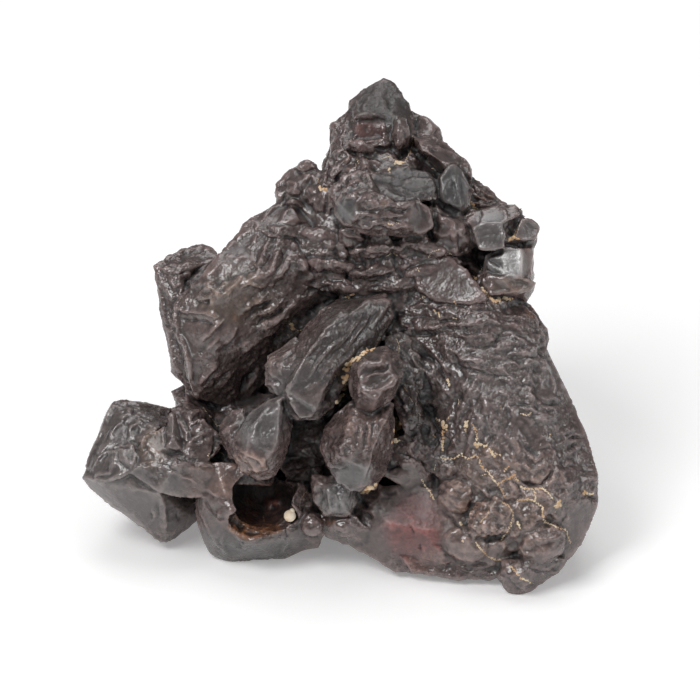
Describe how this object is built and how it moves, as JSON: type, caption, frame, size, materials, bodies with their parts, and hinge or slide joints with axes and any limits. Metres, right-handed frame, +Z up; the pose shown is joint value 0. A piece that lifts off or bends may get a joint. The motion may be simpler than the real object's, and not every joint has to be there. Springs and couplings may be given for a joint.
{
  "type": "prophecy stone",
  "caption": "Cluster of blocky and bladed crystals worn round by wind, leaning back on worn feet, with a pale grain lodged in a pocket at its lower left.",
  "frame": {"origin": "centre of the bounding box at the plane the stone rests on", "axes": "+Z up, +X to the right as seen from the front, -Y towards the viewer, who sees the broad face leaning back"},
  "size_m": [0.0778, 0.0572, 0.0605],
  "materials": {
    "stone": "dark brown iron oxide polished to a satin sheen, with pale chalk in its cracks",
    "lodged_grain": "pale cream shell or chalk, dull"
  },
  "bodies": {
    "root": {"stone": "stone", "lodged_grain": "lodged_grain"}
  },
  "joints": []
}
